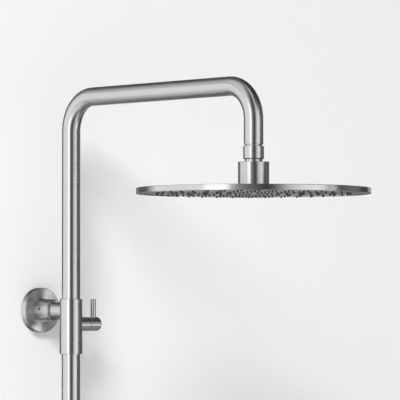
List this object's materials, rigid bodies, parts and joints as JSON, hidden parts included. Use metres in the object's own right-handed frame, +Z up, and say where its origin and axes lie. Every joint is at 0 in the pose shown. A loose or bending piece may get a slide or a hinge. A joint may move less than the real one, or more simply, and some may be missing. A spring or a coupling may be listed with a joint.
{
  "type": "thermostatic shower set",
  "caption": "Wall-mounted shower column: a bent riser tube with a flat round rain head on a ball joint, a lever valve at its bracket and a thermostatic bar mixer at its foot.",
  "frame": {"origin": "middle of the upper wall bracket's plate, on the wall's surface", "axes": "+Y into the wall, +X to the right seen from the room, +Z up"},
  "size_m": [0.3, 0.6018, 1.1225],
  "materials": {
    "brushed_steel": "stainless steel, brushed round the turned pieces and along the tubes",
    "dark_steel": "dark steel screw",
    "nozzle_rubber": "dark grey silicone",
    "seal_rubber": "black seal rubber",
    "white_plastic": "white moulded",
    "brass": "turned brass"
  },
  "bodies": {
    "column": {"riser_arm_tube": "brushed_steel", "lower_tube": "brushed_steel", "arm_insert": "brushed_steel", "ball_collar": "brushed_steel", "ball_stud": "brushed_steel", "wall_plate": "brushed_steel", "wall_rosette": "brushed_steel", "bracket_boss": "brushed_steel", "bracket_arm": "brushed_steel", "valve_body": "brushed_steel", "valve_neck": "brushed_steel", "mixer_body": "brushed_steel", "hose_nipple": "brushed_steel", "riser_nut": "brushed_steel", "inlet_nut_left": "brushed_steel", "inlet_nut_right": "brushed_steel", "eccentric_union_left": "brushed_steel", "eccentric_union_right": "brushed_steel", "mixer_rosette_left": "brushed_steel", "mixer_rosette_right": "brushed_steel", "boss_grub_screw": "dark_steel", "joint_washer": "seal_rubber", "rosette_ring": "seal_rubber", "tube_seals": "seal_rubber", "riser_washer": "seal_rubber", "inlet_washer_left": "seal_rubber", "inlet_washer_right": "seal_rubber", "check_valve_left": "white_plastic", "check_valve_right": "white_plastic", "stop_ring": "white_plastic", "thermostatic_cartridge": "brass", "flow_cartridge": "brass", "valve_cartridge": "brass", "riser_nipple": "brass", "riser_tail": "brass", "inlet_tail_left": "brass", "inlet_tail_right": "brass"},
    "ball_liner": {"ball_liner": "white_plastic"},
    "ball_seal": {"ball_seal": "seal_rubber"},
    "head": {"hub": "brushed_steel", "head_spigot": "brushed_steel", "flow_regulator": "white_plastic", "head_shell": "brushed_steel", "nozzle_plate": "brushed_steel", "nozzle_mat": "nozzle_rubber", "head_gasket": "seal_rubber"},
    "valve_knob": {"valve_knob": "brushed_steel", "valve_lever": "brushed_steel", "valve_rotor": "brass"},
    "temperature_handle": {"temperature_handle": "brushed_steel", "temperature_lever": "brushed_steel", "temperature_spindle": "brass", "button_bush": "brushed_steel"},
    "safety_button": {"safety_button": "brushed_steel"},
    "flow_handle": {"flow_handle": "brushed_steel", "flow_lever": "brushed_steel", "flow_spindle": "brass"}
  },
  "joints": [
    {"name": "head_tilt_side", "type": "hinge", "parent": "column", "child": "ball_liner", "pos_m": [0, -0.4368, 0.1778], "axis": [0, 1, 0], "range_deg": [-8, 8]},
    {"name": "head_tilt_front", "type": "hinge", "parent": "ball_liner", "child": "ball_seal", "pos_m": [0, -0.4368, 0.1778], "axis": [1, 0, 0], "range_deg": [-8, 8]},
    {"name": "head_spin", "type": "hinge", "parent": "ball_seal", "child": "head", "pos_m": [0, -0.4368, 0.1778], "axis": [0, 0, 1], "continuous": true},
    {"name": "valve_turn", "type": "hinge", "parent": "column", "child": "valve_knob", "pos_m": [0.0431, -0.0708, -0.0187], "axis": [1, 0, 0], "range_deg": [0, 90]},
    {"name": "temperature_turn", "type": "hinge", "parent": "column", "child": "temperature_handle", "pos_m": [0.12, -0.0708, -0.78], "axis": [1, 0, 0], "range_deg": [-60, 210]},
    {"name": "button_press", "type": "slide", "parent": "temperature_handle", "child": "safety_button", "axis": [0, 1, 0], "range_m": [0, 0.002], "stiffness_N_per_m": 800, "springref_m": -0.002},
    {"name": "flow_turn", "type": "hinge", "parent": "column", "child": "flow_handle", "pos_m": [-0.12, -0.0708, -0.78], "axis": [1, 0, 0], "range_deg": [0, 90]}
  ]
}
